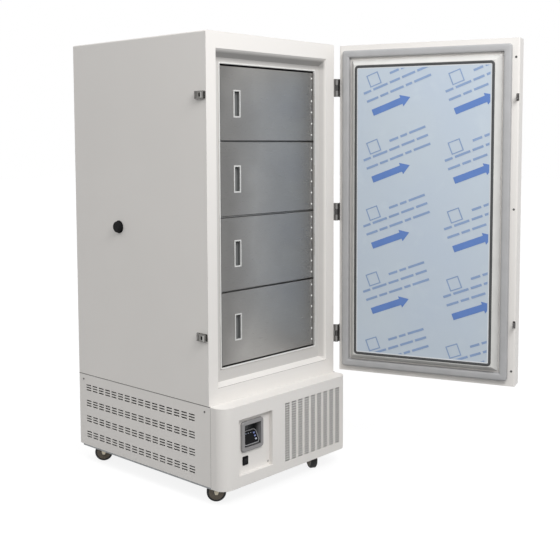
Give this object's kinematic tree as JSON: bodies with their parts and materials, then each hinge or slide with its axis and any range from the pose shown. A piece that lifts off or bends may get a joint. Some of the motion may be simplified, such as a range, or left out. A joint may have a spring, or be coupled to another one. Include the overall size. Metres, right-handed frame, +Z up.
{
  "type": "ultra low temperature freezer",
  "caption": "Upright foamed freezer cabinet with stacked inner doors behind a thick hinged main door, standing on a vented machine base with swivel casters.",
  "frame": {"origin": "on the floor, under the middle of the upper cabinet's footprint", "axes": "+Z up, -Y out of the front, +X to the hinge side of the doors"},
  "size_m": [1.0849, 1.5552, 1.779],
  "materials": {
    "white_paint": "satin off-white powder coat",
    "galvanised": "matte grey",
    "stainless": "satin brushed",
    "filmed_stainless": "satin, under a pale blue protective film",
    "white_plastic": "satin",
    "foam": "rigid foam, matte",
    "grey_rubber": "matte",
    "hinge_steel": "satin",
    "chrome": "polished",
    "dark_steel": "satin",
    "black_plastic": "satin",
    "black_rubber": "matte",
    "grey_plastic": "satin",
    "light_plastic": "satin",
    "zinc": "satin zinc plate",
    "wheel_rubber": "matte",
    "black_enamel": "satin enamel",
    "aluminium_fins": "satin",
    "copper": "satin copper"
  },
  "bodies": {
    "cabinet": {"outer_wrapper": "white_paint", "back_panel": "white_paint", "front_frame": "white_paint", "side_panel_left": "white_paint", "side_panel_right": "white_paint", "rear_grille": "white_paint", "front_cover": "white_paint", "cabinet_floor": "galvanised", "base_tray": "galvanised", "base_frame": "galvanised", "inner_liner": "stainless", "shelves": "stainless", "inner_hinge_strip": "stainless", "foam_body": "foam", "cabinet_hinges": "hinge_steel", "latch_bases": "chrome", "port_sleeve": "black_plastic", "controller_bezel": "grey_plastic", "key_panel": "black_plastic", "rocker_frame": "black_plastic", "mains_inlet": "black_plastic", "caster_plates": "zinc", "high_stage_compressor": "black_enamel", "low_stage_compressor": "black_enamel", "condenser": "aluminium_fins", "fan_motor": "dark_steel", "heat_exchanger": "black_rubber", "refrigerant_tubing": "copper", "electrical_box": "grey_plastic"},
    "main_door": {"door_pan": "white_paint", "door_foam": "foam", "door_inner_frame": "white_plastic", "door_inner_panel": "filmed_stainless", "door_gasket": "grey_rubber", "door_hinges": "hinge_steel", "door_keepers": "dark_steel"},
    "inner_door_1": {"inner_door_1": "stainless", "inner_door_pull_1": "white_plastic"},
    "inner_door_2": {"inner_door_2": "stainless", "inner_door_pull_2": "white_plastic"},
    "inner_door_3": {"inner_door_3": "stainless", "inner_door_pull_3": "white_plastic"},
    "inner_door_4": {"inner_door_4": "stainless", "inner_door_pull_4": "white_plastic"},
    "latch_lever_lower": {"latch_lever_lower": "chrome"},
    "latch_lever_upper": {"latch_lever_upper": "chrome"},
    "port_plug": {"port_plug": "black_rubber"},
    "power_rocker": {"power_rocker": "black_plastic"},
    "down_key": {"down_key": "light_plastic"},
    "up_key": {"up_key": "light_plastic"},
    "set_key": {"set_key": "light_plastic"},
    "fan": {"fan_blade": "black_plastic"},
    "caster_1": {"caster_fork_1": "zinc"},
    "caster_wheel_1": {"caster_wheel_1": "wheel_rubber"},
    "caster_2": {"caster_fork_2": "zinc"},
    "caster_wheel_2": {"caster_wheel_2": "wheel_rubber"},
    "caster_3": {"caster_fork_3": "zinc"},
    "caster_wheel_3": {"caster_wheel_3": "wheel_rubber"},
    "caster_4": {"caster_fork_4": "zinc"},
    "caster_wheel_4": {"caster_wheel_4": "wheel_rubber"}
  },
  "joints": [
    {"name": "main_door_hinge", "type": "hinge", "parent": "cabinet", "child": "main_door", "pos_m": [0.379, -0.4165, 1.074], "axis": [0, 0, 1], "range_deg": [-108, 42]},
    {"name": "inner_door_1_hinge", "type": "hinge", "parent": "cabinet", "child": "inner_door_1", "pos_m": [0.271, -0.3815, 1.517], "axis": [0, 0, 1], "range_deg": [0, 100]},
    {"name": "inner_door_2_hinge", "type": "hinge", "parent": "cabinet", "child": "inner_door_2", "pos_m": [0.271, -0.3815, 1.229], "axis": [0, 0, 1], "range_deg": [0, 100]},
    {"name": "inner_door_3_hinge", "type": "hinge", "parent": "cabinet", "child": "inner_door_3", "pos_m": [0.271, -0.3815, 0.941], "axis": [0, 0, 1], "range_deg": [0, 100]},
    {"name": "inner_door_4_hinge", "type": "hinge", "parent": "cabinet", "child": "inner_door_4", "pos_m": [0.271, -0.3815, 0.653], "axis": [0, 0, 1], "range_deg": [0, 100]},
    {"name": "latch_lower_pivot", "type": "hinge", "parent": "cabinet", "child": "latch_lever_lower", "pos_m": [-0.379, -0.3605, 0.641], "axis": [0, 0, -1], "range_deg": [0, 75]},
    {"name": "latch_upper_pivot", "type": "hinge", "parent": "cabinet", "child": "latch_lever_upper", "pos_m": [-0.379, -0.3605, 1.544], "axis": [0, 0, -1], "range_deg": [0, 75]},
    {"name": "port_plug_pull", "type": "slide", "parent": "cabinet", "child": "port_plug", "axis": [-1, 0, 0], "range_m": [0, 0.07]},
    {"name": "rocker_tilt", "type": "hinge", "parent": "cabinet", "child": "power_rocker", "pos_m": [-0.238, -0.4635, 0.154], "axis": [1, 0, 0], "range_deg": [-14, 0]},
    {"name": "down_key_press", "type": "slide", "parent": "cabinet", "child": "down_key", "axis": [0, 0.8875, -0.4608], "range_m": [0, 0.001], "stiffness_N_per_m": 400},
    {"name": "up_key_press", "type": "slide", "parent": "cabinet", "child": "up_key", "axis": [0, 0.8875, -0.4608], "range_m": [0, 0.001], "stiffness_N_per_m": 400},
    {"name": "set_key_press", "type": "slide", "parent": "cabinet", "child": "set_key", "axis": [0, 0.8875, -0.4608], "range_m": [0, 0.001], "stiffness_N_per_m": 400},
    {"name": "fan_spin", "type": "hinge", "parent": "cabinet", "child": "fan", "pos_m": [0.1645, -0.2785, 0.198], "axis": [0, 1, 0], "continuous": true},
    {"name": "caster_1_swivel", "type": "hinge", "parent": "cabinet", "child": "caster_1", "pos_m": [-0.304, -0.4045, 0.09], "axis": [0, 0, 1], "continuous": true},
    {"name": "caster_1_roll", "type": "hinge", "parent": "caster_1", "child": "caster_wheel_1", "pos_m": [-0.31863, -0.39086, 0.0375], "axis": [-0.682, -0.7314, 0], "continuous": true},
    {"name": "caster_2_swivel", "type": "hinge", "parent": "cabinet", "child": "caster_2", "pos_m": [0.218, -0.4045, 0.09], "axis": [0, 0, 1], "continuous": true},
    {"name": "caster_2_roll", "type": "hinge", "parent": "caster_2", "child": "caster_wheel_2", "pos_m": [0.208, -0.42182, 0.0375], "axis": [0.866, -0.5, 0], "continuous": true},
    {"name": "caster_3_swivel", "type": "hinge", "parent": "cabinet", "child": "caster_3", "pos_m": [-0.304, 0.2975, 0.09], "axis": [0, 0, 1], "continuous": true},
    {"name": "caster_3_roll", "type": "hinge", "parent": "caster_3", "child": "caster_wheel_3", "pos_m": [-0.31863, 0.31114, 0.0375], "axis": [-0.682, -0.7314, 0], "continuous": true},
    {"name": "caster_4_swivel", "type": "hinge", "parent": "cabinet", "child": "caster_4", "pos_m": [0.304, 0.2975, 0.09], "axis": [0, 0, 1], "continuous": true},
    {"name": "caster_4_roll", "type": "hinge", "parent": "caster_4", "child": "caster_wheel_4", "pos_m": [0.314, 0.31482, 0.0375], "axis": [-0.866, 0.5, 0], "continuous": true}
  ]
}
